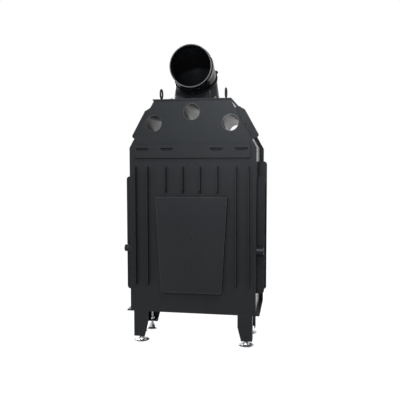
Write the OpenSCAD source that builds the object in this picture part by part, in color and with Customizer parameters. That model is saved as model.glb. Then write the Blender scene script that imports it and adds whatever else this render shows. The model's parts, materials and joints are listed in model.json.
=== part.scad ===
// Steel fireplace insert with a turning flue elbow, a glazed door and levelling feet.
// Millimetres, +Z up. The front faces -Y, and the origin is on the floor below the middle.
// Depths are counted forward from the outer face of the rear plate.

/* [Body] */
// Width of the steel body across the rear plate
body_w = 574; // [520:2:640]
// Depth of the body from the rear plate to the front plate
body_d = 292; // [280:4:340]
// Height of the underside of the base plate above the floor
base_z = 142; // [130:2:170]
// Height at which the side walls bend in to the hood
knee_z = 890; // [880:5:940]
// Height of the top of the hood walls
hood_z = 1099; // [1090:5:1160]
// Width of the hood at its top
hood_w = 343; // [335:4:380]
// Thickness of the wall sheets
wall_t = 4; // [3:0.5:5]
// Thickness of the base and top plates
plate_t = 6; // [5:0.5:8]
// How far the base and front plates stand out past the side walls
flange_out = 17; // [12:1:24]
// Overhang of the top plate past the hood walls
top_over = 4.5; // [3:0.5:7]

/* [Rear face] */
// Stand-off of the rear fins
rear_fin_out = 26; // [18:1:27]
// Thickness of every fin
fin_t = 4; // [3:0.5:5]
// Distance of the outermost rear fins from the centre line
rear_fin_outer_x = 256; // [250:2:264]
// Distance of the second pair of rear fins from the centre line
rear_fin_second_x = 200; // [190:2:210]
// Spacing of the four short rear fins
rear_fin_short_pitch = 78; // [70:2:90]
// Height of the top of the rear fins
rear_fin_top_z = 807; // [780:2:820]
// Height of the bottom of the long rear fins
rear_fin_low_z = 266; // [240:2:320]
// Height of the bottom of the short rear fins
rear_fin_short_z = 686; // [680:2:720]
// Chamfer on the ends of the rear fins
rear_fin_chamfer = 12; // [6:1:16]
// Width of the rear cover at its top
cover_top_w = 324; // [300:2:360]
// Width of the rear cover at its bottom
cover_low_w = 274; // [240:2:290]
// Height of the top of the rear cover
cover_top_z = 670; // [620:2:672]
// Height of the bottom of the rear cover
cover_low_z = 240; // [210:5:280]
// Stand-off of the rear cover
cover_out = 26; // [18:1:27]
// Sheet thickness of the rear cover and the louvre strip
cover_t = 2; // [1.5:0.5:3]
// Radius of the lower corners of the rear cover
cover_corner_r = 14; // [6:1:20]
// Length of the louvre strip
strip_w = 524; // [500:4:544]
// Height of the louvre strip
strip_h = 58; // [50:1:66]
// Stand-off of the louvre strip
strip_out = 11; // [7:1:14]
// Width of one louvre slot along its top
louvre_w = 58; // [44:1:60]
// Height of one louvre slot
louvre_h = 14; // [8:1:18]
// Distance of the inner louvre slots from the centre line
louvre_inner_x = 112; // [96:2:130]
// Distance of the outer louvre slots from the centre line
louvre_outer_x = 223; // [200:1:232]

/* [Side fins and spigots] */
// Depth of the rear side fins
side_fin_rear_d = 61; // [50:1:90]
// Stand-off of the rear side fins
side_fin_rear_out = 33.5; // [24:0.5:44]
// Height of the top of the rear side fins
side_fin_rear_top_z = 760; // [700:5:820]
// Depth of the front side fins
side_fin_front_d = 150; // [130:2:180]
// Stand-off of the front side fins
side_fin_front_out = 39; // [30:1:50]
// Height of the top of the front side fins
side_fin_front_top_z = 829; // [780:1:860]
// Height of the bottom of the side fins
side_fin_low_z = 231; // [200:1:300]
// Outer corner radius of the side fins
side_fin_corner_r = 14; // [6:1:20]
// Stand-off of the hood fins, square to the slope
hood_fin_out = 33; // [24:1:40]
// Distance along the slope from the knee to the hood fins
hood_fin_start = 44; // [30:1:60]
// Length of the hood fins along the slope
hood_fin_len = 162; // [130:2:170]
// Diameter of the side spigots
spigot_dia = 24; // [16:1:30]
// Stand-off of the side spigots
spigot_out = 33; // [24:1:40]
// Depth of the side spigots
spigot_d = 28; // [20:1:40]
// Height of the side spigots
spigot_z = 430; // [380:5:480]

/* [Exchanger tubes] */
// Outer diameter of the exchanger tubes
tube_dia = 76; // [60:1:84]
// Wall thickness of the exchanger tubes
tube_t = 3; // [2:0.5:4]
// Distance of the outer tubes from the centre line
tube_x = 172; // [160:1:180]
// Height of the outer tubes at the rear plate
tube_side_z = 998; // [985:1:1002]
// Height of the middle tube at the rear plate
tube_mid_z = 1047; // [1044:1:1052]
// Fall of the tubes towards the front, in degrees
tube_fall = 5; // [2:0.5:6]
// How far the tube ends stand proud of the plates
tube_proud = 1.5; // [0.5:0.5:4]

/* [Flue] */
// Inner diameter of the flue mouth
flue_dia = 180; // [160:5:184]
// Sheet thickness of the flue pieces
flue_t = 2.5; // [2:0.5:3]
// Depth of the upright axis of the flue collar
flue_d = 130; // [128:1:150]
// Height of the mouth's axis above the top plate
mouth_rise = 138; // [134:1:160]
// Height of the middle of the oblique joint above the top plate
joint_rise = 100; // [98:1:108]
// Distance of the middle of the oblique joint behind the collar's axis
joint_back = 12; // [6:1:14]
// How far the mouth stands out behind the rear plate
mouth_out = 30; // [28:1:50]
// Length of the mouth's plain collar
mouth_len = 28; // [20:1:32]
// Outer diameter of the cone at the top plate
cone_dia = 214; // [206:1:218]
// Width of the collar's foot flange
foot_flange = 7; // [5:0.5:8]
// Number of clamps that hold the foot flange
collar_clamps_n = 3; // [3:1:6]
// Number of clamps on the oblique joint
joint_clamps_n = 3; // [3:1:6]

/* [Legs and feet] */
// Width of a leg at its top
leg_top_w = 66; // [56:1:76]
// Width of a leg at its bottom
leg_low_w = 50; // [44:1:56]
// Depth of a leg's side flange
leg_side_d = 50; // [44:1:60]
// Height of a leg's lower edge above the floor
leg_low_z = 25; // [20:1:36]
// Inset of the legs from the side walls
leg_inset = 15; // [8:1:20]
// Depth of the outer face of the front legs
leg_front_d = 246; // [220:2:260]
// Diameter of the foot discs
foot_dia = 70; // [56:1:76]
// Diameter of the threaded studs
stud_dia = 10; // [8:1:12]
// Radial clearance of the threads and of every running fit
run_gap = 0.05; // [0.02:0.01:0.1]

/* [Front] */
// Width of the door opening
opening_w = 444; // [420:4:460]
// Height of the bottom of the door opening
opening_low_z = 262; // [258:1:280]
// Height of the top of the door opening
opening_top_z = 812; // [800:2:840]
// Depth of the door surround in front of the front plate
surround_d = 48; // [40:1:70]
// Width of the surround's rim round the opening
rim_w = 40; // [34:1:44]
// Thickness of the door frame
door_t = 20; // [18:1:26]
// Overlap of the door frame on the surround
door_lap = 20; // [16:1:24]
// Width of the door frame's stiles and rails
stile_w = 54; // [50:1:64]
// Thickness of the door glass
glass_t = 4; // [3:0.5:5]
// Reach of the door handle in front of the door
handle_reach = 38; // [30:1:60]
// Length of the handle grip
grip_len = 120; // [90:5:150]

/* [Firebox] */
// Thickness of the fireclay linings and slabs
lining_t = 30; // [25:1:35]
// Height of the top of the upright linings
lining_top_z = 700; // [640:5:760]
// Length of the grate from side to side
grate_w = 200; // [160:5:210]
// Depth of the grate
grate_d = 150; // [130:5:170]
// Thickness of the cast grate
grate_t = 14; // [10:1:18]
// Number of slots in the grate
grate_slots = 9; // [5:1:11]
// Depth of the upper baffle
baffle_d = 190; // [150:5:200]

/* [Ash drawer and air] */
// Outer width of the ash drawer
drawer_w = 210; // [180:2:216]
// Height of the ash drawer
drawer_h = 52; // [40:1:54]
// Sheet thickness of the ash drawer
drawer_t = 2; // [1.5:0.5:3]
// Travel of the air slider
air_travel = 40; // [30:1:45]
// Outer diameter of the outside-air spigot
air_dia = 100; // [80:5:110]
// Length of the outside-air spigot below the base plate
air_len = 35; // [25:1:38]
// Depth of the axis of the outside-air spigot
air_d = 196; // [190:1:200]

/* [Hidden] */

black = "#2b2d2f";
dark = "#1d1f21";
zinc = "#c3c6ca";
clay = "#d8c8a8";
round_fn = 64;
soft_fn = 32;

// Clearance that keeps two pieces of different bodies apart
slip = 0.3;
handle_boss_h = 8;
handle_bar = 14;

front_reach = body_d + surround_d + 2 + door_t + handle_reach + handle_bar / 2;
back_y = (front_reach + mouth_out) / 2 - mouth_out;
half_w = body_w / 2;
half_hood = hood_w / 2;
slope_run = half_w - half_hood;
slope_rise = hood_z - knee_z;
floor_z = base_z + plate_t;
top_z = hood_z + plate_t;
side = [-1, 1];

// A point list with arcs of the given radii at its corners
function arc_corner(a, p, b, r, steps = 6) =
    let(
        u = (a - p) / norm(a - p),
        v = (b - p) / norm(b - p),
        half = acos(u * v) / 2,
        mid = (u + v) / norm(u + v),
        c = p + mid * r / sin(half),
        t0 = p + u * r / tan(half) - c,
        t1 = p + v * r / tan(half) - c,
        a0 = atan2(t0.y, t0.x),
        sweep = (atan2(t1.y, t1.x) - a0 + 540) % 360 - 180
    )
    [for (i = [0:steps]) c + r * [cos(a0 + sweep * i / steps), sin(a0 + sweep * i / steps)]];

function rounded(pts, radii) =
    let(n = len(pts))
    [for (i = [0:n - 1])
        for (q = radii[i] == 0
            ? [pts[i]]
            : arc_corner(pts[(i + n - 1) % n], pts[i], pts[(i + 1) % n], radii[i])) q];

function frame_pts(x0, z0, x1, z1) = [[x0, z0], [x1, z0], [x1, z1], [x0, z1]];

// Outline of the rear or front plate, with an extra margin at the sides
function body_outline(margin) = [
    [-half_w - margin, floor_z], [half_w + margin, floor_z],
    [half_w + margin, knee_z], [half_hood + margin, hood_z],
    [-half_hood - margin, hood_z], [-half_w - margin, knee_z]
];

// Puts the children so that depth is counted forward from the rear plate
module at(x, d, z) {
    translate([x, back_y - d, z]) children();
}

// Extrudes a profile drawn in x and z forward from a depth
module across(d, t) {
    at(0, d, 0) rotate([90, 0, 0]) linear_extrude(t) children();
}

// Extrudes a profile drawn in negative depth and z from side to side
module along_x(x, w) {
    at(x, 0, 0) rotate([90, 0, 90]) linear_extrude(w) children();
}

// A block given by its lowest x, its rear depth, its lowest z and its size forward
module block(x, d, z, w, dd, h) {
    at(x, d + dd, z) cube([w, dd, h]);
}

module mirrored_pair() {
    children();
    mirror([1, 0, 0]) children();
}

module bolt_head(r, h) {
    cylinder(r = r, h = h, $fn = 6);
}

// Exchanger tubes

tube_cuts = [[-tube_x, tube_side_z], [0, tube_mid_z], [tube_x, tube_side_z]];

module tube_rod(i, r) {
    at(tube_cuts[i][0], 0, tube_cuts[i][1])
        rotate([90 + tube_fall, 0, 0])
            translate([0, 0, -60])
                cylinder(r = r, h = body_d + 120, $fn = round_fn);
}

module tube(i) {
    color(black)
        intersection() {
            difference() {
                tube_rod(i, tube_dia / 2);
                tube_rod(i, tube_dia / 2 - tube_t);
            }
            block(-half_w, -tube_proud, knee_z, body_w, body_d + 2 * tube_proud, hood_z - knee_z);
        }
}

module tube_left() tube(2);
module tube_middle() tube(1);
module tube_right() tube(0);

module tube_holes() {
    for (i = [0:2]) tube_rod(i, tube_dia / 2);
}

// Body sheets

sensor_x = 23;
sensor_r = 2.5;

module rear_plate() {
    color(black)
        difference() {
            across(0, wall_t) polygon(body_outline(0));
            tube_holes();
            for (s = side)
                at(s * sensor_x, -1, rear_fin_top_z + 13)
                    rotate([90, 0, 0]) cylinder(r = sensor_r, h = wall_t + 2, $fn = soft_fn);
        }
}

module side_panel() {
    along = body_d - 2 * wall_t;
    across(wall_t, along)
        polygon([
            [half_w, floor_z], [half_w, knee_z], [half_hood, hood_z],
            [half_hood - wall_t, hood_z], [half_w - wall_t, knee_z - 2], [half_w - wall_t, floor_z]
        ]);
}

module side_panel_left() {
    color(black) side_panel();
}

module side_panel_right() {
    color(black) mirror([1, 0, 0]) side_panel();
}

drawer_hole_w = drawer_w + 4;
drawer_low_z = floor_z + 8 + slip;
drawer_hole_h = drawer_h + 4;
air_z = drawer_low_z + drawer_h + 20;
air_rod_r = 3;
air_slot_n = 3;
air_slot_pitch = 26;
air_slot_w = 12;
air_slot_h = 8;
air_first_x = -92;
air_rod_x = 30;

module air_holes(shift) {
    for (i = [0:air_slot_n - 1])
        block(air_first_x + i * air_slot_pitch + shift, body_d - 12, air_z - air_slot_h / 2,
            air_slot_w, 20, air_slot_h);
}

module front_plate() {
    color(black)
        difference() {
            across(body_d - wall_t, wall_t)
                difference() {
                    polygon(body_outline(flange_out));
                    polygon(frame_pts(-opening_w / 2, opening_low_z, opening_w / 2, opening_top_z));
                    polygon(frame_pts(-drawer_hole_w / 2, drawer_low_z - 2,
                        drawer_hole_w / 2, drawer_low_z - 2 + drawer_hole_h));
                    polygon(frame_pts(air_rod_x - air_rod_r - 1, air_z - air_rod_r - 0.5,
                        air_rod_x + air_travel + air_rod_r + 1, air_z + air_rod_r + 0.5));
                }
            tube_holes();
            air_holes(0);
        }
}

module base_plate() {
    color(black)
        difference() {
            block(-half_w - flange_out, 0, base_z, body_w + 2 * flange_out, body_d, plate_t);
            at(0, air_d, base_z - 1) cylinder(r = air_dia / 2 - 3, h = plate_t + 2, $fn = round_fn);
        }
}

cone_r = cone_dia / 2;
foot_r = cone_r + foot_flange;

module top_plate() {
    color(black)
        difference() {
            block(-half_hood - top_over, -top_over, hood_z, hood_w + 2 * top_over,
                body_d + 2 * top_over, plate_t);
            at(0, flue_d, hood_z - 1)
                cylinder(r = cone_r - flue_t - 4, h = plate_t + 2, $fn = round_fn);
        }
}

// Rear face

module rear_fin(x, low) {
    along_x(x - fin_t / 2, fin_t)
        polygon([
            [0, low], [rear_fin_out, low + rear_fin_chamfer],
            [rear_fin_out, rear_fin_top_z - rear_fin_chamfer], [0, rear_fin_top_z]
        ]);
}

module rear_fins() {
    color(black) {
        for (s = side, x = [rear_fin_outer_x, rear_fin_second_x]) rear_fin(s * x, rear_fin_low_z);
        for (i = [-1.5:1:1.5]) rear_fin(i * rear_fin_short_pitch, rear_fin_short_z);
    }
}

function cover_pts(inset) = [
    [-cover_low_w / 2 + inset, cover_low_z + inset], [cover_low_w / 2 - inset, cover_low_z + inset],
    [cover_top_w / 2 - inset, cover_top_z - inset], [-cover_top_w / 2 + inset, cover_top_z - inset]
];

screw_hole_r = 2.5;
cover_screw_z = [cover_low_z + 119, cover_low_z + 242];

module rear_cover() {
    low_r = cover_corner_r;
    color(black)
        difference() {
            across(-cover_out, cover_out) polygon(rounded(cover_pts(0), [low_r, low_r, 4, 4]));
            across(-cover_out + cover_t, cover_out)
                polygon(rounded(cover_pts(cover_t), [low_r - cover_t, low_r - cover_t, 2, 2]));
            for (z = cover_screw_z)
                at(0, -cover_out - 1, z) rotate([90, 0, 0])
                    cylinder(r = screw_hole_r, h = cover_t + 2, $fn = soft_fn);
        }
}

module rear_cover_screws() {
    color(dark)
        for (z = cover_screw_z)
            at(0, -cover_out, z) rotate([90, 0, 0]) {
                translate([0, 0, -2.5]) cylinder(r1 = 3, r2 = 4.5, h = 2.5, $fn = soft_fn);
                cylinder(r = screw_hole_r, h = cover_out, $fn = soft_fn);
            }
}

strip_z = knee_z - 46;

louvre_slot_h = 7;
louvre_top = strip_z + strip_h - 14;
louvre_low = louvre_top - louvre_h;
louvre_slant = (louvre_h - louvre_slot_h) * 0.7;
tongue_in = 6;

// The outline of a louvre: a slot, and the tongue's place under it with slanted ends
function louvre_pts(x) = [
    [x - louvre_w / 2, louvre_top], [x - louvre_w / 2, louvre_top - louvre_slot_h],
    [x - louvre_w / 2 + 4, louvre_top - louvre_slot_h], [x - louvre_w / 2 + 4 + louvre_slant, louvre_low],
    [x + louvre_w / 2 - 4 - louvre_slant, louvre_low], [x + louvre_w / 2 - 4, louvre_top - louvre_slot_h],
    [x + louvre_w / 2, louvre_top - louvre_slot_h], [x + louvre_w / 2, louvre_top]
];

// A tongue that leans inward from its lower edge
module louvre_tongue(x) {
    lean = strip_out - tongue_in;
    intersection() {
        across(-strip_out, tongue_in + 1) polygon(louvre_pts(x));
        along_x(x - louvre_w / 2, louvre_w)
            polygon([
                [strip_out, louvre_low - 1], [strip_out, louvre_low],
                [lean, louvre_top - louvre_slot_h], [lean - cover_t, louvre_top - louvre_slot_h],
                [strip_out - cover_t, louvre_low - 1]
            ]);
    }
}

module louvre_strip() {
    color(black) {
        difference() {
            across(-strip_out, strip_out)
                polygon(frame_pts(-strip_w / 2, strip_z, strip_w / 2, strip_z + strip_h));
            across(-strip_out + cover_t, strip_out)
                polygon(frame_pts(-strip_w / 2 + cover_t, strip_z + cover_t,
                    strip_w / 2 - cover_t, strip_z + strip_h - cover_t));
            for (s = side, x = [louvre_inner_x, louvre_outer_x])
                across(-strip_out - 1, cover_t + 2) polygon(louvre_pts(s * x));
        }
        for (s = side, x = [louvre_inner_x, louvre_outer_x]) louvre_tongue(s * x);
    }
}

// Side fins, hood fins and spigots

module side_fin(d, out, top) {
    across(d, fin_t)
        polygon(rounded([
            [half_w, side_fin_low_z], [half_w + out, side_fin_low_z],
            [half_w + out, top], [half_w, top]
        ], [0, side_fin_corner_r, side_fin_corner_r, 0]));
}

module side_fins() {
    color(black) mirrored_pair() {
        side_fin(side_fin_rear_d, side_fin_rear_out, side_fin_rear_top_z);
        side_fin(side_fin_front_d, side_fin_front_out, side_fin_front_top_z);
    }
}

// A hood fin drawn along the slope, u up the slope and v out of it
module hood_fin() {
    lean = atan2(slope_rise, -slope_run);
    across(side_fin_rear_d, fin_t)
        translate([half_w, knee_z]) rotate(lean)
            polygon(rounded([
                [hood_fin_start, 0], [hood_fin_start + hood_fin_len, 0],
                [hood_fin_start + hood_fin_len, -hood_fin_out * 0.45],
                [hood_fin_start + hood_fin_len - 30, -hood_fin_out],
                [hood_fin_start - 4, -hood_fin_out]
            ], [0, 0, 3, 6, 10]));
}

module hood_fins() {
    color(black) mirrored_pair() hood_fin();
}

module side_spigots() {
    chamfer = 5;
    color(black)
        mirrored_pair()
            at(half_w, spigot_d, spigot_z) rotate([0, 90, 0]) {
                cylinder(r = spigot_dia / 2, h = spigot_out - chamfer, $fn = soft_fn);
                translate([0, 0, spigot_out - chamfer])
                    cylinder(r1 = spigot_dia / 2, r2 = spigot_dia / 2 - chamfer, h = chamfer, $fn = soft_fn);
            }
}

// Lifting eyes

eye_x = half_hood - 24;
eye_d = 45;
eye_ring_r = 20;
eye_wire_r = 4;

module lifting_eye() {
    color(black) at(eye_x, eye_d, top_z) {
        cylinder(r = 10, h = 5, $fn = soft_fn);
        translate([0, 0, 5 + eye_ring_r + eye_wire_r - 1])
            rotate([90, 0, 90])
                rotate_extrude($fn = round_fn)
                    translate([eye_ring_r, 0]) circle(r = eye_wire_r, $fn = soft_fn);
    }
}

module lifting_eye_left() lifting_eye();
module lifting_eye_right() mirror([1, 0, 0]) lifting_eye();

// Flue

mouth_z = top_z + mouth_rise;
joint_r = flue_dia / 2 + 6;
joint_ring = 5;
joint_lip = 3;
mouth_r = flue_dia / 2 + flue_t;
step_r = mouth_r + 3;
mouth_tube = 60;
ring_points = 48;
collar_axis = [back_y - flue_d, top_z];
joint_mid = [back_y - flue_d + joint_back, top_z + joint_rise];
mouth_mid = [back_y + mouth_out, mouth_z];

// A ring of points, leaned back by an angle and moved along its own axis
function ring(r, h, lean, mid) = [
    for (k = [0:ring_points - 1])
        let(a = 360 * k / ring_points)
        [
            r * cos(a),
            mid.x + r * sin(a) * cos(lean) + h * sin(lean),
            mid.y - r * sin(a) * sin(lean) + h * cos(lean)
        ]
];

// A closed skin over a loop of rings, which run up the outside and down the inside
module ring_loft(rings) {
    n = ring_points;
    m = len(rings);
    polyhedron(
        points = [for (r = rings) each r],
        faces = [
            for (i = [0:m - 1], k = [0:n - 1])
                let(
                    a = i * n + k,
                    b = i * n + (k + 1) % n,
                    c = (i + 1) % m * n + (k + 1) % n,
                    d = (i + 1) % m * n + k
                )
                each [[a, d, c], [a, c, b]]
        ]
    );
}

// Turns the children into the oblique plane of the turning joint
module oblique() {
    translate([0, joint_mid.x, joint_mid.y]) rotate([-45, 0, 0]) children();
}

module flue_collar() {
    foot_t = 4;
    inner = joint_r - 2 - flue_t;
    half_slip = slip / 2;
    color(black)
        ring_loft([
            ring(foot_r, slip, 0, collar_axis),
            ring(foot_r, slip + foot_t, 0, collar_axis),
            ring(cone_r, slip + foot_t, 0, collar_axis),
            ring(joint_r - 2, -joint_ring, 45, joint_mid),
            ring(joint_r + joint_lip, -joint_ring, 45, joint_mid),
            ring(joint_r + joint_lip, -half_slip, 45, joint_mid),
            ring(inner, -half_slip, 45, joint_mid),
            ring(inner, -joint_ring, 45, joint_mid),
            ring(cone_r - flue_t, slip + foot_t, 0, collar_axis),
            ring(cone_r - flue_t, slip, 0, collar_axis)
        ]);
}

module flue_elbow() {
    inner = joint_r - 2 - flue_t;
    half_slip = slip / 2;
    color(black)
        ring_loft([
            ring(joint_r + joint_lip, half_slip, 45, joint_mid),
            ring(joint_r + joint_lip, joint_ring, 45, joint_mid),
            ring(joint_r - 2, joint_ring, 45, joint_mid),
            ring(step_r, -mouth_tube, 90, mouth_mid),
            ring(step_r - flue_t, -mouth_tube, 90, mouth_mid),
            ring(inner, joint_ring, 45, joint_mid),
            ring(inner, half_slip, 45, joint_mid)
        ]);
}

module flue_mouth() {
    color(black)
        at(0, -mouth_out, mouth_z) rotate([90, 0, 0])
            difference() {
                union() {
                    cylinder(r = mouth_r, h = mouth_tube, $fn = round_fn);
                    translate([0, 0, mouth_len])
                        cylinder(r = step_r, h = mouth_tube - mouth_len, $fn = round_fn);
                    translate([0, 0, 5]) cylinder(r = mouth_r + 1, h = 3, $fn = round_fn);
                }
                translate([0, 0, -1]) cylinder(r = flue_dia / 2, h = mouth_tube + 2, $fn = round_fn);
            }
}

collar_clamp_turn = 24;

module at_collar_clamp(i) {
    at(0, flue_d, top_z) rotate([0, 0, collar_clamp_turn + i * 360 / collar_clamps_n]) children();
}

module collar_clamps() {
    rise = 4 + 2 * slip;
    color(black)
        for (i = [0:collar_clamps_n - 1])
            at_collar_clamp(i)
                difference() {
                    union() {
                        translate([foot_r + 0.5, -8, 0]) cube([10, 16, rise]);
                        translate([foot_r - 3.5, -8, rise]) cube([14, 16, 3]);
                    }
                    translate([foot_r + 5, 0, -1]) cylinder(r = 3, h = 12, $fn = soft_fn);
                }
}

module collar_clamp_bolts() {
    color(zinc)
        for (i = [0:collar_clamps_n - 1])
            at_collar_clamp(i)
                translate([foot_r + 5, 0, 0]) {
                    cylinder(r = 3, h = 14, $fn = soft_fn);
                    translate([0, 0, 7 + 2 * slip]) bolt_head(5.2, 5);
                }
}

// Clamp blocks on the collar's rim, whose fingers reach over the elbow's rim
module joint_clamps() {
    edge = joint_r + joint_lip;
    finger = 2.5;
    color(dark)
        for (i = [0:joint_clamps_n - 1])
            oblique() rotate([0, 0, 90 + i * 360 / joint_clamps_n]) {
                translate([edge + slip, -7, -3]) cube([7, 14, 3 + joint_ring + slip + finger]);
                translate([edge - 2, -7, joint_ring + slip]) cube([3, 14, finger]);
                translate([edge + slip + 7, 0, 2]) rotate([0, 90, 0]) bolt_head(4.5, 4);
            }
}

// Legs and feet

leg_x = half_w - leg_inset;
tab_z = leg_low_z + 14;
foot_in = 29;
foot_x = leg_x - foot_in;
foot_d = 27;

// One leg, with its face plate at the rear and its foot tab inside
module leg_shape() {
    color(black) {
        difference() {
            across(0, wall_t)
                polygon([
                    [leg_x, base_z], [leg_x, leg_low_z], [leg_x - leg_low_w, leg_low_z],
                    [leg_x - leg_top_w, base_z - 54], [leg_x - leg_top_w, base_z]
                ]);
            block(foot_x - 6, -1, tab_z + 4, 12, wall_t + 2, 3);
        }
        along_x(leg_x - wall_t, wall_t)
            polygon([
                [-wall_t, base_z], [-leg_side_d, base_z], [-leg_side_d, base_z - 54],
                [-leg_side_d + 6, leg_low_z], [-wall_t, leg_low_z]
            ]);
        difference() {
            block(leg_x - leg_low_w, wall_t, tab_z, leg_low_w - wall_t, leg_side_d - wall_t - 6, 4);
            at(foot_x, foot_d, tab_z - 1) cylinder(r = stud_dia / 2 + run_gap, h = 6, $fn = soft_fn);
        }
    }
}

module front_of() {
    translate([0, 2 * back_y - leg_front_d, 0]) mirror([0, 1, 0]) children();
}

module leg_rear_left() leg_shape();
module leg_rear_right() mirror([1, 0, 0]) leg_shape();
module leg_front_left() front_of() leg_shape();
module leg_front_right() mirror([1, 0, 0]) front_of() leg_shape();

module locknut() {
    at(foot_x, foot_d, tab_z + 4)
        difference() {
            bolt_head(9.2, 8);
            translate([0, 0, -1]) cylinder(r = stud_dia / 2 + run_gap, h = 10, $fn = soft_fn);
        }
}

module foot_locknuts() {
    color(zinc) mirrored_pair() {
        locknut();
        front_of() locknut();
    }
}

module foot() {
    r = foot_dia / 2;
    color(zinc) at(foot_x, foot_d, 0) {
        rotate_extrude($fn = round_fn)
            polygon([[0, 0], [r - 1, 0], [r, 1], [r, 3], [r - 6, 5], [17, 6], [9, 19], [9, 22], [0, 22]]);
        cylinder(r = stud_dia / 2, h = base_z - 30, $fn = soft_fn);
    }
}

module foot_rear_left() foot();
module foot_rear_right() mirror([1, 0, 0]) foot();
module foot_front_left() front_of() foot();
module foot_front_right() mirror([1, 0, 0]) front_of() foot();

// Front

half_open = opening_w / 2;
rim_low_z = opening_low_z - 22;
rim_top_z = opening_top_z + 22;
rim_x = half_open + rim_w;
rim_t = 6;
rim_d = body_d + surround_d;

module door_surround() {
    color(black)
        difference() {
            across(body_d, surround_d)
                polygon(frame_pts(-rim_x, rim_low_z, rim_x, rim_top_z));
            across(body_d - 1, surround_d - rim_t + 1)
                polygon(frame_pts(-rim_x + wall_t, rim_low_z + wall_t, rim_x - wall_t, rim_top_z - wall_t));
            across(body_d, surround_d + 1)
                polygon(frame_pts(-half_open, opening_low_z, half_open, opening_top_z));
        }
}

door_d = rim_d + 2;
door_x = half_open + door_lap;
door_low_z = opening_low_z - 16;
door_top_z = opening_top_z + 16;
hinge_gap = 8;
hinge_x = door_x + hinge_gap;
hinge_d = door_d + door_t / 2;
hinge_r = 7.5;
knuckle_h = 34;
knuckle_z = [door_low_z + 80, door_top_z - 114];
pin_r = 5;
glass_lap = 12;

// Things at the hinge line, on the left as seen from the front
module at_hinge(z) {
    at(-hinge_x, hinge_d, z) children();
}

module hinge_brackets() {
    color(dark)
        for (z = knuckle_z)
            difference() {
                union() {
                    at_hinge(z - 14 - slip) cylinder(r = hinge_r, h = 14, $fn = soft_fn);
                    block(-hinge_x - hinge_r, rim_d, z - 14 - slip, hinge_r * 2, hinge_d - rim_d, 14);
                }
                at_hinge(z - 20) cylinder(r = pin_r, h = 30, $fn = soft_fn);
            }
}

module hinge_pins() {
    color(zinc)
        for (z = knuckle_z)
            at_hinge(z - 14 - slip) cylinder(r = pin_r, h = 14 + knuckle_h - 4, $fn = soft_fn);
}

spindle_x = door_x - 31;
spindle_z = (door_low_z + door_top_z) / 2;
spindle_r = 6;

module door_frame() {
    color(black)
        difference() {
            union() {
                across(door_d, door_t)
                    polygon(rounded(frame_pts(-door_x, door_low_z, door_x, door_top_z), [3, 3, 3, 3]));
                for (z = knuckle_z) {
                    at_hinge(z) cylinder(r = hinge_r, h = knuckle_h, $fn = soft_fn);
                    block(-hinge_x, hinge_d - 4, z, hinge_gap + 1, 8, knuckle_h);
                }
            }
            across(door_d - 1, door_t + 2)
                polygon(rounded(frame_pts(-door_x + stile_w, door_low_z + stile_w,
                    door_x - stile_w, door_top_z - stile_w), [6, 6, 6, 6]));
            across(door_d - 1, door_t / 2 + 1)
                polygon(frame_pts(-door_x + stile_w - glass_lap, door_low_z + stile_w - glass_lap,
                    door_x - stile_w + glass_lap, door_top_z - stile_w + glass_lap));
            for (z = knuckle_z)
                at_hinge(z - 1) cylinder(r = pin_r + run_gap, h = knuckle_h + 2, $fn = soft_fn);
            at(spindle_x, door_d - 1, spindle_z) rotate([90, 0, 0])
                cylinder(r = spindle_r + run_gap, h = door_t + 2, $fn = soft_fn);
        }
}

glass_x = door_x - stile_w + glass_lap - 1;
glass_low_z = door_low_z + stile_w - glass_lap + 1;
glass_top_z = door_top_z - stile_w + glass_lap - 1;
seal_t = 1.5;
glass_d = door_d + door_t / 2 - seal_t - glass_t;

module door_glass() {
    color([0.15, 0.16, 0.17, 0.5])
        across(glass_d, glass_t)
            polygon(frame_pts(-glass_x, glass_low_z, glass_x, glass_top_z));
}

module glass_seal() {
    color("white")
        across(glass_d + glass_t, seal_t)
            difference() {
                polygon(frame_pts(-glass_x, glass_low_z, glass_x, glass_top_z));
                polygon(frame_pts(-glass_x + 9, glass_low_z + 9, glass_x - 9, glass_top_z - 9));
            }
}

clip_z = [glass_low_z + 60, (glass_low_z + glass_top_z) / 2 + 60, glass_top_z - 60];

module glass_clips() {
    t = glass_d - door_d;
    color(zinc)
        for (s = side, z = clip_z)
            translate([s * (glass_x - 5), 0, 0]) block(-6, door_d, z - 15, 12, t, 30);
}

module door_rope_seal() {
    rope = 9;
    color("gray")
        across(rim_d + slip, door_d - rim_d - slip)
            difference() {
                polygon(frame_pts(-door_x + 4, door_low_z + 3, door_x - 4, door_top_z - 3));
                polygon(frame_pts(-door_x + 4 + rope, door_low_z + 3 + rope,
                    door_x - 4 - rope, door_top_z - 3 - rope));
            }
}

handle_d = door_d + door_t + handle_reach;

module handle_spindle() {
    color(zinc) at(spindle_x, rim_d - rim_t - 9, spindle_z) rotate([90, 0, 0]) {
        cylinder(r = spindle_r, h = handle_d - (rim_d - rim_t - 9), $fn = soft_fn);
        translate([0, 0, door_d + door_t + slip - (rim_d - rim_t - 9)])
            cylinder(r = 11, h = handle_boss_h, $fn = soft_fn);
    }
}

module handle_grip() {
    r = handle_bar / 2;
    color(dark)
        at(spindle_x, handle_d, spindle_z) rotate([180, 0, 0])
            difference() {
                union() {
                    translate([0, 0, -10]) cylinder(r = r, h = grip_len + 10 - r, $fn = soft_fn);
                    translate([0, 0, grip_len - r]) sphere(r = r, $fn = soft_fn);
                    translate([0, 0, -10]) sphere(r = r, $fn = soft_fn);
                }
                rotate([-90, 0, 0]) translate([0, 0, -20])
                    cylinder(r = spindle_r, h = 20, $fn = soft_fn);
            }
}

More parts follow.
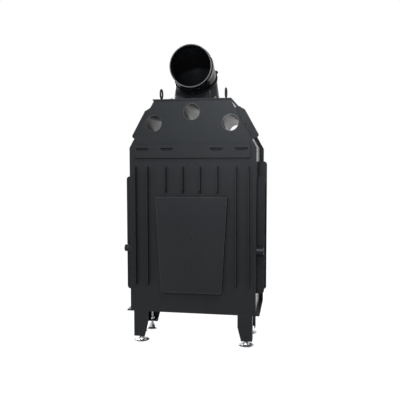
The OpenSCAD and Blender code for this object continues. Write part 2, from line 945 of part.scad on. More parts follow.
module latch_pawl() {
    d = rim_d - rim_t - 2 - 6;
    color(zinc)
        difference() {
            across(d, 6)
                polygon(rounded([
                    [spindle_x - 8, spindle_z - 9], [spindle_x + 8, spindle_z - 9],
                    [spindle_x + 6, spindle_z + 38], [spindle_x - 6, spindle_z + 38]
                ], [6, 6, 3, 3]));
            at(spindle_x, d - 1, spindle_z) rotate([90, 0, 0])
                cylinder(r = spindle_r, h = 8, $fn = soft_fn);
        }
}

// Firebox

inner_x = half_w - wall_t;
shelf_z = opening_low_z - 12;
shelf_t = 6;
slab_z = shelf_z + shelf_t;
slab_t = lining_t;
grate_mid_d = (wall_t + lining_t + body_d) / 2;
lining_low_z = slab_z + slab_t;

module hearth_shelf() {
    ledge = 8;
    color(dark)
        difference() {
            block(-inner_x, wall_t, shelf_z, 2 * inner_x, body_d - 2 * wall_t, shelf_t);
            block(-grate_w / 2 + ledge, grate_mid_d - grate_d / 2 + ledge, shelf_z - 1,
                grate_w - 2 * ledge, grate_d - 2 * ledge, shelf_t + 2);
        }
}

module hearth_slabs() {
    gap = 1;
    depth = body_d - 2 * wall_t;
    color(clay)
        difference() {
            block(-inner_x, wall_t, slab_z, 2 * inner_x, depth, slab_t);
            block(-grate_w / 2 - gap, grate_mid_d - grate_d / 2 - gap, slab_z - 1,
                grate_w + 2 * gap, grate_d + 2 * gap, slab_t + 2);
            block(-gap / 2, wall_t - 1, slab_z - 1, gap, depth + 2, slab_t + 2);
        }
}

module grate() {
    pitch = (grate_w - 20) / grate_slots;
    color(dark)
        difference() {
            block(-grate_w / 2, grate_mid_d - grate_d / 2, slab_z, grate_w, grate_d, grate_t);
            for (i = [0:grate_slots - 1])
                block(-grate_w / 2 + 10 + (i + 0.5) * pitch - 4, grate_mid_d - grate_d / 2 + 16,
                    slab_z - 1, 8, grate_d - 32, grate_t + 2);
        }
}

module log_guard() {
    h = 40;
    color(dark)
        difference() {
            block(-half_open + 6, body_d - wall_t - 16, lining_low_z, opening_w - 12, 8, h);
            for (i = [-5:5])
                block(i * 34 - 8, body_d - wall_t - 17, lining_low_z + 10, 16, 10, h - 20);
        }
}

module lining_rear() {
    color(clay)
        difference() {
            block(-inner_x, wall_t, lining_low_z, 2 * inner_x, lining_t, lining_top_z - lining_low_z);
            block(-0.5, wall_t + lining_t - 3, lining_low_z - 1, 1, 4, lining_top_z - lining_low_z + 2);
        }
}

module lining_sides() {
    color(clay)
        mirrored_pair()
            block(inner_x - lining_t, wall_t + lining_t, lining_low_z,
                lining_t, body_d - 2 * wall_t - lining_t - 16, lining_top_z - lining_low_z);
}

baffle_low_t = 25;
baffle_side_gap = 2;

module baffle_lower() {
    color(clay)
        block(-inner_x + baffle_side_gap, wall_t, lining_top_z,
            2 * (inner_x - baffle_side_gap), baffle_d, baffle_low_t);
}

bracket_leg = 20;
bracket_reach = 26;
bracket_t = 4;
bracket_back_d = 80;
upper_z = opening_top_z + bracket_leg + bracket_t;

module baffle_brackets() {
    color(dark)
        mirrored_pair()
            along_bracket();
}

module along_bracket() {
    block(inner_x - bracket_reach, bracket_back_d, upper_z - bracket_t, bracket_reach, baffle_d, bracket_t);
    block(inner_x - bracket_t, bracket_back_d, opening_top_z, bracket_t, baffle_d, bracket_leg);
}

baffle_up_gap = 6;

module baffle_upper() {
    color(dark)
        block(-inner_x + baffle_up_gap, bracket_back_d + bracket_t, upper_z,
            2 * (inner_x - baffle_up_gap), baffle_d, bracket_t);
}

// Ash drawer and air

chamber_x = drawer_hole_w / 2 + 4;

module ash_chamber_walls() {
    color(dark)
        mirrored_pair()
            block(chamber_x, wall_t, floor_z, 3, body_d - 2 * wall_t, shelf_z - floor_z);
}

runner_back_d = 20;
runner_w = 14;
runner_h = 8;
runner_rail_t = 3;
runner_rail_h = 22;

module drawer_runners() {
    runner_len = body_d - runner_back_d - wall_t;
    color(dark)
        mirrored_pair() {
            block(drawer_w / 2 - runner_w, runner_back_d, floor_z, runner_w, runner_len, runner_h);
            block(drawer_w / 2 + slip, runner_back_d, floor_z, runner_rail_t, runner_len, runner_rail_h);
        }
}

drawer_back_d = 34;
drawer_front_z = floor_z + 3;
drawer_front_h = drawer_low_z - 2 + drawer_hole_h + 4 - drawer_front_z;

module ash_drawer() {
    len = body_d + slip - drawer_back_d;
    color(black) {
        difference() {
            block(-drawer_w / 2, drawer_back_d, drawer_low_z, drawer_w, len, drawer_h);
            block(-drawer_w / 2 + drawer_t, drawer_back_d + drawer_t, drawer_low_z + drawer_t,
                drawer_w - 2 * drawer_t, len - drawer_t - 2, drawer_h);
        }
        block(-drawer_hole_w / 2 - 6, body_d + slip, drawer_front_z, drawer_hole_w + 12, 8, drawer_front_h);
    }
}

module drawer_knob() {
    color(zinc)
        at(0, body_d + slip + 8, drawer_front_z + drawer_front_h / 2) rotate([90, 0, 0])
            rotate_extrude($fn = soft_fn)
                polygon([[0, 0], [6, 0], [5, 8], [5, 12], [11, 16], [11, 22], [9, 24], [0, 24]]);
}

slider_x0 = air_first_x - 10;
slider_len = air_slot_n * air_slot_pitch + 60;
slider_h = 14;
slider_t = 3;
slider_d = body_d - wall_t - slip - slider_t;

module air_slider() {
    color(zinc)
        difference() {
            union() {
                block(slider_x0, slider_d, air_z - slider_h / 2, slider_len, slider_t, slider_h);
                at(air_rod_x, slider_d + slider_t, air_z) rotate([90, 0, 0]) {
                    cylinder(r = air_rod_r, h = 34, $fn = soft_fn);
                    translate([0, 0, 20]) cylinder(r = 5, h = 18, $fn = soft_fn);
                }
            }
            air_holes(0);
        }
}

module air_guides() {
    length = slider_len + air_travel;
    back = slider_d - slip - 3;
    color(dark) {
        for (s = side) {
            z = air_z + s * (slider_h / 2 + slip);
            low = s > 0 ? z : z - 4;
            lip = s > 0 ? z - 3 : z - 4;
            block(slider_x0, back, low, length, body_d - wall_t - back, 4);
            block(slider_x0, back, lip, length, 3, 7);
        }
    }
}

module air_spigot() {
    r = air_dia / 2;
    color(black) at(0, air_d, base_z - air_len)
        difference() {
            union() {
                cylinder(r = r, h = air_len, $fn = round_fn);
                translate([0, 0, air_len - 3]) cylinder(r = r + 14, h = 3, $fn = round_fn);
            }
            translate([0, 0, -1]) cylinder(r = r - 2.5, h = air_len + 2, $fn = round_fn);
        }
}

rear_plate();
side_panel_left();
side_panel_right();
front_plate();
base_plate();
top_plate();
rear_fins();
rear_cover();
rear_cover_screws();
louvre_strip();
side_fins();
hood_fins();
side_spigots();
tube_left();
tube_middle();
tube_right();
lifting_eye_left();
lifting_eye_right();
collar_clamps();
collar_clamp_bolts();
flue_collar();
joint_clamps();
flue_elbow();
flue_mouth();
leg_rear_left();
leg_rear_right();
leg_front_left();
leg_front_right();
foot_locknuts();
foot_rear_left();
foot_rear_right();
foot_front_left();
foot_front_right();
door_surround();
hinge_brackets();
hinge_pins();
door_frame();
door_glass();
glass_seal();
glass_clips();
door_rope_seal();
handle_spindle();
handle_grip();
latch_pawl();
hearth_shelf();
hearth_slabs();
grate();
log_guard();
lining_rear();
lining_sides();
baffle_lower();
baffle_upper();
baffle_brackets();
ash_chamber_walls();
drawer_runners();
ash_drawer();
drawer_knob();
air_slider();
air_guides();
air_spigot();
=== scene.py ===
"""Looks for the fireplace insert: materials, small fasteners and weld beads, light, floor and camera."""

import json
import math

import bmesh
import bpy
from mathutils import Matrix, Vector


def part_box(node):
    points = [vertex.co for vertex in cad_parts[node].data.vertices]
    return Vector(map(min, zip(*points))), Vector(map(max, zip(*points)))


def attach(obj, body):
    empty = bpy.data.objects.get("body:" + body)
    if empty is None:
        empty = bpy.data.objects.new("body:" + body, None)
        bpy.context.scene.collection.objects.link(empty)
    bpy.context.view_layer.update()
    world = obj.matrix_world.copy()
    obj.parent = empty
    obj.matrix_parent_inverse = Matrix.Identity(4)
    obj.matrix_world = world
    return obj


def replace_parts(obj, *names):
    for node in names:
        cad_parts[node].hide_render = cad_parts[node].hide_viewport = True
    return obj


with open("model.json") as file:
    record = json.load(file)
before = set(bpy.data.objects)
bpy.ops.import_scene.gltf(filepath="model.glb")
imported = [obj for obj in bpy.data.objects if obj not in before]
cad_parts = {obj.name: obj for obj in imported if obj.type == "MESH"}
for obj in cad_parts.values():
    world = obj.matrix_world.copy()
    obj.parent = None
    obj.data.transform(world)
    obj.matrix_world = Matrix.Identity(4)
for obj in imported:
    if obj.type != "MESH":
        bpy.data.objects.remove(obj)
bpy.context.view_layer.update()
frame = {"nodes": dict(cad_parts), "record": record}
NODES = frame["nodes"]
RECORD = frame["record"]


# Shader helpers

NOISE_RANGE = (0.3, 0.7)  # where nearly all values of a noise texture lie
FULL_RANGE = (0.0, 1.0)


class Shader:
    """A Principled material with a short way to add nodes and links."""

    def __init__(self, name, **values):
        self.mat = bpy.data.materials.new(name)
        self.mat.use_nodes = True
        self.tree = self.mat.node_tree
        self.bsdf = self.tree.nodes["Principled BSDF"]
        for socket, value in values.items():
            self.bsdf.inputs[socket.replace("_", " ")].default_value = value
        self.coord = self.tree.nodes.new("ShaderNodeTexCoord").outputs["Object"]

    def add(self, kind, inputs=None, **props):
        """A node with its settings and inputs."""
        node = self.tree.nodes.new(kind)
        for prop, value in props.items():
            setattr(node, prop, value)
        for socket, value in (inputs or {}).items():
            self.plug(value, node.inputs[socket])
        return node

    def plug(self, value, target):
        """Give an input a value, or a link when the value is another node's output."""
        if isinstance(value, bpy.types.NodeSocket):
            self.tree.links.new(value, target)
        else:
            target.default_value = value

    def scaled(self, x, y, z):
        """Object coordinates stretched by three factors."""
        return self.add("ShaderNodeMapping", {"Vector": self.coord, "Scale": (x, y, z)}).outputs["Vector"]

    def noise(self, scale, detail=3.0, rough=0.5, vector=None):
        return self.add("ShaderNodeTexNoise", {
            "Vector": vector or self.coord, "Scale": scale, "Detail": detail, "Roughness": rough}).outputs["Fac"]

    def ramp(self, fac, low, high, at=NOISE_RANGE):
        """A colour between low and high, by a factor."""
        node = self.add("ShaderNodeValToRGB", {"Fac": fac})
        for element, place, colour in zip(node.color_ramp.elements, at, (low, high)):
            element.position = place
            element.color = (*colour, 1.0)
        return node.outputs["Color"]

    def span(self, fac, low, high, at=NOISE_RANGE):
        """A number between low and high, by a factor."""
        return self.add("ShaderNodeMapRange", {
            "Value": fac, "From Min": at[0], "From Max": at[1], "To Min": low, "To Max": high}).outputs["Result"]

    def mix(self, fac, source, colour):
        """A colour between another node's output and a plain colour, by a factor."""
        node = self.add("ShaderNodeMix", {"Factor": fac}, data_type="RGBA")
        first, second = [i for i in node.inputs if i.type == "RGBA"]
        self.plug(source, first)
        self.plug((*colour, 1.0), second)
        return next(o for o in node.outputs if o.type == "RGBA")

    def colour(self, source):
        self.plug(source, self.bsdf.inputs["Base Color"])

    def roughness(self, source):
        self.plug(source, self.bsdf.inputs["Roughness"])

    def level(self, value):
        """The strength of the mirror part, where 0.5 is a usual varnish."""
        self.plug(value, self.bsdf.inputs["Specular IOR Level"])

    def relief(self, height, distance, strength, edge):
        """Bump over edges that are rounded in shading by the radius edge."""
        bevel = self.add("ShaderNodeBevel", {"Radius": edge}, samples=4).outputs["Normal"]
        bump = self.add("ShaderNodeBump", {
            "Height": height, "Distance": distance, "Strength": strength, "Normal": bevel})
        self.plug(bump.outputs["Normal"], self.bsdf.inputs["Normal"])


BLACK = ((0.0078, 0.0086, 0.0096), (0.0098, 0.0108, 0.0119))  # the stove paint's darker and lighter tones
PAINT_LEVEL = 0.12


def painted(name, low, high, edge):
    """The tone and the fine grain of sprayed stove paint, over edges of the radius edge."""
    s = Shader(name, Specular_Tint=(0.9, 0.95, 1.0, 1.0))
    s.colour(s.ramp(s.noise(5.0, 4.0, 0.6), low, high))
    s.relief(s.noise(1100.0, 2.0, 0.6), 0.00012, 0.6, edge)
    return s


def stove_paint(name, low, high, rough=(0.40, 0.44), level=PAINT_LEVEL):
    s = painted(name, low, high, 0.001)
    s.roughness(s.span(s.noise(38.0, 5.0, 0.65), *rough))
    s.level(level)
    return s.mat


def folded_paint(name, low, high):
    """Stove paint on a folded sheet: it lies thinner and shinier over the bends."""
    fold = 0.0045
    s = painted(name, low, high, fold)
    # A bend is where the normal rounded by the fold's radius leaves the sheet's own
    rounded = s.add("ShaderNodeBevel", {"Radius": fold}, samples=8).outputs["Normal"]
    flat = s.add("ShaderNodeNewGeometry").outputs["True Normal"]
    same = s.add("ShaderNodeVectorMath", {0: rounded, 1: flat}, operation="DOT_PRODUCT").outputs["Value"]
    bend = s.span(same, 1.0, 0.0, (0.80, 0.97))
    s.roughness(s.span(bend, 0.42, 0.24, FULL_RANGE))
    s.level(s.span(bend, PAINT_LEVEL, 0.75, FULL_RANGE))
    return s.mat


def smooth_paint(name):
    """Paint on drawn tube: no grain that shows, only slow changes of tone and sheen."""
    s = Shader(name, Specular_IOR_Level=0.2, Specular_Tint=(0.94, 0.97, 1.0, 1.0))
    s.colour(s.ramp(s.noise(4.0, 2.0, 0.5), (0.019, 0.0202, 0.022), (0.022, 0.0233, 0.0255)))
    s.roughness(s.span(s.noise(6.0, 2.0, 0.5), 0.28, 0.32))
    return s.mat


def flue_with_painted_shade(name):
    """Stove paint outside, a bare cut edge at the mouth, and painted shade, dark and dull, where the pipe wall
    closes itself in.
    """
    mouth_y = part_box("flue_mouth")[1][1]
    rim_start, rim_full = mouth_y - 0.0012, mouth_y - 0.0004
    s = Shader(name)
    # Painted shade: ambient occlusion darkens the inside of the pipe and its hollows, and makes them dull
    closed = s.add("ShaderNodeAmbientOcclusion", {"Distance": 0.2}, samples=8, only_local=True).outputs["AO"]
    darkening = s.span(closed, 1.0, 0.0, (0.5, 0.75))
    paint = s.ramp(s.noise(5.0, 4.0, 0.6), (0.009, 0.0096, 0.0107), (0.0125, 0.0133, 0.0147))
    y = s.add("ShaderNodeSeparateXYZ", {"Vector": s.coord}).outputs["Y"]
    rim = s.span(y, 0.0, 1.0, (rim_start, rim_full))
    # The near-black colour where the pipe wall closes itself in is painted shade
    s.colour(s.mix(rim, s.mix(darkening, paint, (0.0016, 0.0016, 0.0017)), (0.085, 0.089, 0.094)))
    s.roughness(s.span(darkening, 0.22, 0.62, FULL_RANGE))
    s.level(s.span(darkening, 0.08, 0.01, FULL_RANGE))
    s.relief(s.noise(900.0, 2.0, 0.6), 0.00006, 0.4, s.span(rim, 0.0025, 0.0003, FULL_RANGE))
    return s.mat


def plated(name, low, high, rough=(0.22, 0.38), grain=700.0, along=(1.0, 1.0, 1.0)):
    s = Shader(name, Metallic=1.0)
    vec = s.scaled(*along)
    s.colour(s.ramp(s.noise(60.0, 4.0, 0.6, vec), low, high))
    s.roughness(s.span(s.noise(90.0, 4.0, 0.7, vec), *rough))
    s.relief(s.noise(grain, 3.0, 0.6, vec), 0.00008, 0.5, 0.0006)
    return s.mat


def casting(name, low, high):
    s = Shader(name, Specular_IOR_Level=0.3)
    s.colour(s.ramp(s.noise(9.0, 5.0, 0.6), low, high))
    s.roughness(s.span(s.noise(120.0, 4.0, 0.7), 0.5, 0.68))
    s.relief(s.noise(420.0, 4.0, 0.65), 0.0004, 0.55, 0.0016)
    return s.mat


def fireclay(name):
    s = Shader(name, Specular_IOR_Level=0.15)
    body = s.ramp(s.noise(70.0, 6.0, 0.7), (0.50, 0.42, 0.30), (0.66, 0.58, 0.44), (0.25, 0.75))
    darkening = s.span(s.noise(4.0, 3.0, 0.6), 0.0, 0.22, (0.4, 0.8))
    s.colour(s.mix(darkening, body, (0.16, 0.13, 0.10)))
    s.roughness(s.span(s.noise(200.0, 3.0), 0.82, 0.95))
    s.relief(s.noise(260.0, 6.0, 0.75), 0.0009, 0.7, 0.002)
    return s.mat


def rope(name):
    s = Shader(name, Specular_IOR_Level=0.1)
    wave = s.add("ShaderNodeTexWave", {"Vector": s.scaled(1.0, 0.4, 1.0), "Scale": 190.0, "Distortion": 2.5,
                                       "Detail": 2.0}, bands_direction="DIAGONAL").outputs["Fac"]
    s.colour(s.ramp(wave, (0.30, 0.29, 0.27), (0.55, 0.54, 0.50)))
    s.roughness(s.span(s.noise(300.0), 0.85, 0.98))
    s.relief(wave, 0.0012, 0.8, 0.001)
    return s.mat


def stove_glass(name):
    s = Shader(name, Transmission_Weight=1.0, IOR=1.46, Base_Color=(0.86, 0.88, 0.88, 1.0))
    s.roughness(s.span(s.noise(14.0, 4.0), 0.01, 0.05, (0.35, 0.8)))
    return s.mat


MATERIALS = {
    "black_steel": stove_paint("paint_black", *BLACK),
    "side_steel": stove_paint("paint_side", *BLACK, (0.18, 0.24), 0.28),
    "tube_steel": smooth_paint("paint_tube"),
    "cover_steel": folded_paint("paint_cover", *BLACK),
    "sleeve_steel": stove_paint("paint_sleeve", (0.007, 0.0077, 0.0087), (0.0095, 0.0105, 0.0118), (0.3, 0.36)),
    "flue_steel": flue_with_painted_shade("paint_flue"),
    "inner_steel": stove_paint("paint_inner", (0.03, 0.031, 0.033), (0.045, 0.046, 0.048), (0.5, 0.62)),
    "dark_hardware": stove_paint("black_oxide", (0.008, 0.008, 0.009), (0.014, 0.014, 0.015), (0.4, 0.52), 0.15),
    "zinc_steel": plated("zinc_plate", (0.40, 0.41, 0.43), (0.54, 0.55, 0.57)),
    "bare_rim": plated("bare_rim", (0.1, 0.105, 0.11), (0.15, 0.156, 0.163), (0.36, 0.46)),
    "dull_zinc": plated("dull_zinc", (0.10, 0.10, 0.105), (0.2, 0.2, 0.205), (0.3, 0.45)),
    "grip_steel": plated("grip_steel", (0.30, 0.30, 0.31), (0.42, 0.42, 0.43), (0.25, 0.36), 900.0, (1.0, 1.0, 0.1)),
    "cast_iron": casting("cast_iron", (0.016, 0.0165, 0.018), (0.026, 0.0265, 0.028)),
    "fireclay": fireclay("fireclay"),
    "glass": stove_glass("stove_glass"),
    "rope_seal": rope("rope_seal"),
}

# Nodes whose look is not that of their slot in the record
SPECIAL = {
    "rear_cover": "cover_steel",
    "side_panel_left": "side_steel",
    "side_panel_right": "side_steel",
    "collar_clamp_bolts": "dull_zinc",
}

for part in RECORD["subparts"]:
    obj = NODES[part["node"]]
    if not obj.material_slots:
        obj.data.materials.append(None)
    for slot in obj.material_slots:
        slot.material = MATERIALS[SPECIAL.get(part["node"], part["material_slot"])]


# Detail pieces

STEEL_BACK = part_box("rear_plate")[1][1]
WELD_R = 0.0014


def piece(name, bm, slot, body, look=None):
    """A smooth mesh piece in one of the record's finishes, riding on a body; look names another material for it."""
    bmesh.ops.recalc_face_normals(bm, faces=bm.faces)
    mesh = bpy.data.meshes.new(name)
    bm.to_mesh(mesh)
    bm.free()
    mesh.polygons.foreach_set("use_smooth", [True] * len(mesh.polygons))
    mesh.materials.append(MATERIALS[look or slot])
    obj = bpy.data.objects.new(name, mesh)
    bpy.context.scene.collection.objects.link(obj)
    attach(obj, body)
    return obj


def skin(bm, rings):
    """Faces between each ring of points and the next."""
    for low, high in zip(rings, rings[1:]):
        for k in range(len(low)):
            m = (k + 1) % len(low)
            bm.faces.new((low[k], low[m], high[m], high[k]))


def sweep(bm, path, up, radius, sides=8, closed=False):
    """A round section of radius(step, angle), carried along a path that is square to up or winds about it."""
    count = len(path)
    rings = []
    for i, here in enumerate(path):
        after = path[(i + 1) % count] if closed or i + 1 < count else here
        before = path[i - 1] if closed or i else here
        across = (after - before).cross(up).normalized()
        rings.append([bm.verts.new(here + radius(i, a) * (math.cos(a) * across + math.sin(a) * up))
                      for a in (math.tau * k / sides for k in range(sides))])
    if not closed:
        bm.faces.new(rings[0])
        bm.faces.new(rings[-1])
    skin(bm, rings + rings[:1] if closed else rings)


def circle(centre, u, v, r, steps):
    """Points on a circle in the plane of u and v."""
    return [Vector(centre) + r * (math.cos(t) * Vector(u) + math.sin(t) * Vector(v))
            for t in (math.tau * k / steps for k in range(steps))]


def ripple(i, scale=1.0):
    """A weld bead's radius: overlapping drops, one every five steps."""
    return scale * WELD_R * (0.78 + 0.3 * abs(math.sin(i * math.pi / 5)))


def fin_stitches():
    """Short weld beads at the roots of the rear fins, on both sides of each."""
    length, steps, half_fin = 0.026, 40, 0.002
    long_x, long_z = (-0.256, -0.2, 0.2, 0.256), (0.285, 0.415, 0.545, 0.675, 0.765)
    short_x, short_z = (-0.117, -0.039, 0.039, 0.117), (0.700, 0.765)

    def tapered(i, a):
        return ripple(i, 0.25 + 0.75 * math.sqrt(math.sin(math.pi * (i + 0.5) / (steps + 1))))

    bm = bmesh.new()
    for x, stations in [(x, long_z) for x in long_x] + [(x, short_z) for x in short_x]:
        for z in stations:
            for side in (-1, 1):
                start = Vector((x + side * half_fin, STEEL_BACK, z))
                path = [start + Vector((0, 0, length * k / steps)) for k in range(steps + 1)]
                sweep(bm, path, Vector((0, 1, 0)), tapered)
    return piece("fin_welds", bm, "black_steel", "stove")


SPIGOT_SLEEVE_R = 0.0165  # as thick as the photograph shows the spigots, where the solids are thinner


def spigot_roots():
    """Where the axis of each side spigot leaves its side panel, with the side."""
    low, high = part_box("side_spigots")
    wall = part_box("side_panel_left")[1][0]
    return [(side, Vector((side * wall, (low[1] + high[1]) / 2, (low[2] + high[2]) / 2))) for side in (-1, 1)]


def spigot_sleeves():
    """A sleeve round each side spigot, chamfered at its outer end; close rows of points keep its corners crisp."""
    low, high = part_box("side_spigots")
    steps, chamfer, crisp, hold_back, overlap = 72, 0.0016, 0.0003, 0.0004, 0.0003
    flat, edge, bore = SPIGOT_SLEEVE_R, SPIGOT_SLEEVE_R - chamfer, (high[2] - low[2]) / 2 - overlap
    bm = bmesh.new()
    for side, root in spigot_roots():
        last = high[0] - abs(root.x) - hold_back
        profile = [(0.0, bore), (0.0, flat), (crisp, flat), (last - chamfer - crisp, flat), (last - chamfer, flat),
                   (last, edge), (last, edge - crisp), (last, bore)]
        rings = [[bm.verts.new(point + Vector((side * along, 0, 0)))
                  for point in circle(root, (0, 1, 0), (0, 0, 1), out, steps)] for along, out in profile]
        skin(bm, rings + rings[:1])
    return piece("spigot_sleeves", bm, "black_steel", "stove", "sleeve_steel")


def spigot_welds():
    """A bead all round each spigot's sleeve, where it meets the side panel."""
    bm = bmesh.new()
    for _, root in spigot_roots():
        sweep(bm, circle(root, (0, 1, 0), (0, 0, 1), SPIGOT_SLEEVE_R, 120), Vector((1, 0, 0)),
              lambda i, a: ripple(i), closed=True)
    return piece("spigot_welds", bm, "black_steel", "stove")


def mouth_hem():
    """The bare, rolled edge of the flue mouth, drawn back so that it ends where the pipe does."""
    low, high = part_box("flue_mouth")
    hem_r, step, wall = 0.0022, 0.003, 0.0025
    r = (high[0] - low[0]) / 2 - step - wall / 2
    bm = bmesh.new()
    centre = ((low[0] + high[0]) / 2, high[1] - hem_r, (low[2] + high[2]) / 2)
    sweep(bm, circle(centre, (1, 0, 0), (0, 0, 1), r, 144), Vector((0, 1, 0)), lambda i, a: hem_r, 16, True)
    return piece("mouth_hem", bm, "flue_steel", "elbow", "bare_rim")


def foot_thread(node):
    """The screw thread of a levelling foot's stud: one thin ridge that winds up it."""
    low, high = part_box(node)
    x, y = (low[0] + high[0]) / 2, (low[1] + high[1]) / 2
    stud_r, pitch, first_z, bare_tip, steps = 0.005, 0.0015, 0.0225, 0.001, 24
    crest, flank = 0.00055, 0.00026
    turns = (high[2] - bare_tip - first_z) / pitch
    path = [Vector((x + stud_r * math.cos(t), y + stud_r * math.sin(t), first_z + pitch * t / math.tau))
            for t in (math.tau * k / steps for k in range(int(turns * steps)))]
    bm = bmesh.new()
    sweep(bm, path, Vector((0, 0, 1)), lambda i, a: flank if abs(math.sin(a)) < 0.5 else crest, sides=6)
    return piece(node + "_thread", bm, "zinc_steel", node)


def braided_seal():
    """The door's rope seal: a braided rope sunk in the frame, so that its back stands proud as the solid does."""
    low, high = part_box("door_rope_seal")
    r, corner, step, lay, depth = 0.0047, 0.012, 0.0016, 0.011, 0.12
    x, z = high[0] - r, (low[2] + r, high[2] - r)
    y = high[1] - r
    corners = [(x - corner, z[1] - corner, 0), (-x + corner, z[1] - corner, 90),
               (-x + corner, z[0] + corner, 180), (x - corner, z[0] + corner, 270)]
    knots = [(cx + corner * math.cos(math.radians(t0 + t)), cz + corner * math.sin(math.radians(t0 + t)))
             for cx, cz, t0 in corners for t in range(0, 91, 9)]
    path = []
    for (x0, z0), (x1, z1) in zip(knots, knots[1:] + knots[:1]):
        parts = max(1, round(math.hypot(x1 - x0, z1 - z0) / step))
        path += [Vector((x0 + (x1 - x0) * k / parts, y, z0 + (z1 - z0) * k / parts)) for k in range(parts)]

    def braid(i, a):
        turn = i * step / lay * math.pi
        return r * (1 - depth + depth * max(abs(math.cos(3 * a - turn)), abs(math.cos(3 * a + turn))))

    bm = bmesh.new()
    sweep(bm, path, Vector((0, 1, 0)), braid, sides=18, closed=True)
    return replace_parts(piece("door_rope", bm, "rope_seal", "door"), "door_rope_seal")


def socket_screws(name, seats, r, height, body):
    """Button-head screws that face the back, each with a hexagon socket."""
    sides, socket = 24, 0.42
    out = Vector((0, 1, 0))
    u = out.orthogonal().normalized()
    v = out.cross(u)
    hexagon = [r * socket / math.cos((t + math.pi / 6) % (math.pi / 3) - math.pi / 6)
               for t in (math.tau * k / sides for k in range(sides))]
    # Each ring's radii, and its height as a share of the head's
    levels = [([r] * sides, 0), ([r] * sides, 0.15), ([r * 0.9] * sides, 0.6), ([r * 0.62] * sides, 1.0),
              (hexagon, 1.0), (hexagon, 0.35)]
    bm = bmesh.new()
    for seat in seats:
        rings = [[bm.verts.new(Vector(seat) + out * height * level + radii[k] * (
                  math.cos(math.tau * k / sides) * u + math.sin(math.tau * k / sides) * v)) for k in range(sides)]
                 for radii, level in levels]
        skin(bm, rings)
        bm.faces.new(rings[-1])
        bm.faces.new(rings[0][::-1])
    return piece(name, bm, "dark_hardware", body)


def cover_screws():
    low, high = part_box("rear_cover_screws")
    r = (high[0] - low[0]) / 2
    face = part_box("rear_cover")[1][1]
    seats = [(0, face, low[2] + r), (0, face, high[2] - r)]
    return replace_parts(socket_screws("cover_screws", seats, r, high[1] - face, "stove"), "rear_cover_screws")


def clip_screws():
    low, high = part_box("glass_clips")
    head_r, head_h, from_side, from_end = 0.0034, 0.0016, 0.006, 0.015
    seats = [(side * (high[0] - from_side), high[1], z)
             for side in (-1, 1) for z in (low[2] + from_end, high[2] - from_end)]
    return socket_screws("clip_screws", seats, head_r, head_h, "door")


fin_stitches()
spigot_sleeves()
spigot_welds()
mouth_hem()
for foot in ("foot_rear_left", "foot_rear_right", "foot_front_left", "foot_front_right"):
    foot_thread(foot)
braided_seal()
cover_screws()
clip_screws()


# Floor, world, lights and camera

def seen_rays(tree):
    """1 for rays that show a thing as it looks, by camera, mirror or glass, and 0 for those that bring its light."""
    path = tree.nodes.new("ShaderNodeLightPath")
    seen = path.outputs["Is Camera Ray"]
    for name in ("Is Glossy Ray", "Is Transmission Ray"):
        larger = tree.nodes.new("ShaderNodeMath")
        larger.operation = "MAXIMUM"
        tree.links.new(seen, larger.inputs[0])
        tree.links.new(path.outputs[name], larger.inputs[1])
        seen = larger.outputs[0]
    return seen


def blend(tree, share, first, second, output):
    """A mix of two shaders, sent to a new output node of the tree."""
    mix = tree.nodes.new("ShaderNodeMixShader")
    for source, target in zip((share, first, second), mix.inputs):
        tree.links.new(source, target)
    tree.links.new(mix.outputs[0], tree.nodes.new(output).inputs["Surface"])


def stage_floor():
    """A pale floor that takes soft shadows and looks nearly pure white."""
    half_width, pale, glow_share, glow_strength = 9.0, (0.9, 0.9, 0.9, 1.0), 0.9, 1.14
    mesh = bpy.data.meshes.new("floor")
    bm = bmesh.new()
    bmesh.ops.create_grid(bm, x_segments=8, y_segments=8, size=half_width)
    bm.to_mesh(mesh)
    bm.free()
    floor = bpy.data.objects.new("floor", mesh)
    bpy.context.scene.collection.objects.link(floor)
    mat = bpy.data.materials.new("floor")
    mat.use_nodes = True
    tree = mat.node_tree
    tree.nodes.clear()
    share = tree.nodes.new("ShaderNodeMath")
    share.operation = "MULTIPLY"
    share.inputs[1].default_value = glow_share
    tree.links.new(seen_rays(tree), share.inputs[0])
    diffuse = tree.nodes.new("ShaderNodeBsdfDiffuse")
    diffuse.inputs["Color"].default_value = pale
    glow = tree.nodes.new("ShaderNodeEmission")
    glow.inputs["Strength"].default_value = glow_strength
    blend(tree, share.outputs[0], diffuse.outputs[0], glow.outputs[0], "ShaderNodeOutputMaterial")
    mesh.materials.append(mat)


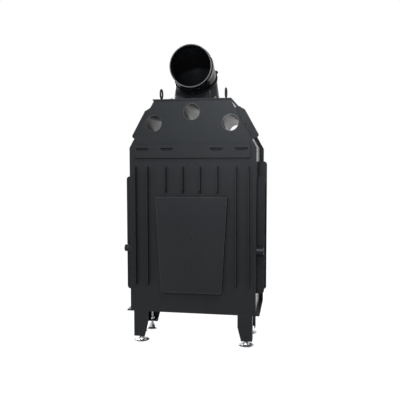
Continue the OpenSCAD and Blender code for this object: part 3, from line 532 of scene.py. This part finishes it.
def white_world(level):
    """Pure white to look at, and a white light of the given strength."""
    world = bpy.data.worlds.new("world")
    bpy.context.scene.world = world
    world.use_nodes = True
    tree = world.node_tree
    tree.nodes.clear()
    shades = [tree.nodes.new("ShaderNodeBackground") for _ in range(2)]
    for shade, strength in zip(shades, (level, 1.0)):
        shade.inputs["Color"].default_value = (1.0, 1.0, 1.0, 1.0)
        shade.inputs["Strength"].default_value = strength
    blend(tree, seen_rays(tree), shades[0].outputs[0], shades[1].outputs[0], "ShaderNodeOutputWorld")


def area_light(name, place, target, size, power):
    """A flat lamp that faces a target; its size is in metres and its power in watts."""
    data = bpy.data.lights.new(name, "AREA")
    data.shape = "RECTANGLE"
    data.size, data.size_y = size
    data.energy = power
    lamp = bpy.data.objects.new(name, data)
    lamp.location = place
    lamp.rotation_euler = (Vector(target) - Vector(place)).to_track_quat("-Z", "Y").to_euler()
    bpy.context.scene.collection.objects.link(lamp)


def photo_camera():
    """The photograph's viewpoint, fitted to 40 points measured in it."""
    yaw, pitch, roll = (math.radians(a) for a in (9.727, 3.596, -0.049))
    focal_px, photo_width_px = 535.6, 400.0
    ahead = Vector((math.sin(yaw) * math.cos(pitch), -math.cos(yaw) * math.cos(pitch), -math.sin(pitch)))
    data = bpy.data.cameras.new("camera")
    data.sensor_fit = "HORIZONTAL"
    data.sensor_width = 36.0
    data.lens = focal_px / photo_width_px * data.sensor_width
    cam = bpy.data.objects.new("camera", data)
    cam.location = (-0.4396, 2.5363, 0.8064)
    turn = ahead.to_track_quat("-Z", "Y").to_matrix().to_4x4() @ Matrix.Rotation(roll, 4, "Z")
    cam.rotation_euler = turn.to_euler()
    bpy.context.scene.collection.objects.link(cam)
    bpy.context.scene.camera = cam


stage_floor()
white_world(0.12)
area_light("key", (-0.15, 2.9, 1.65), (0.0, 0.2, 1.0), (0.5, 0.5), 52.0)
area_light("side", (1.0, 2.6, 2.3), (0.0, 0.2, 0.8), (0.6, 0.6), 20.0)
area_light("top", (-0.7, 1.6, 2.8), (-0.1, 0.1, 0.85), (1.1, 1.1), 62.0)
area_light("edge", (2.6, 1.7, 0.9), (0.3, 0.2, 0.6), (0.6, 1.6), 16.0)
area_light("front", (0.9, -2.8, 2.2), (0.0, 0.0, 0.6), (1.6, 1.6), 75.0)
photo_camera()
bpy.context.scene.view_settings.view_transform = "Standard"
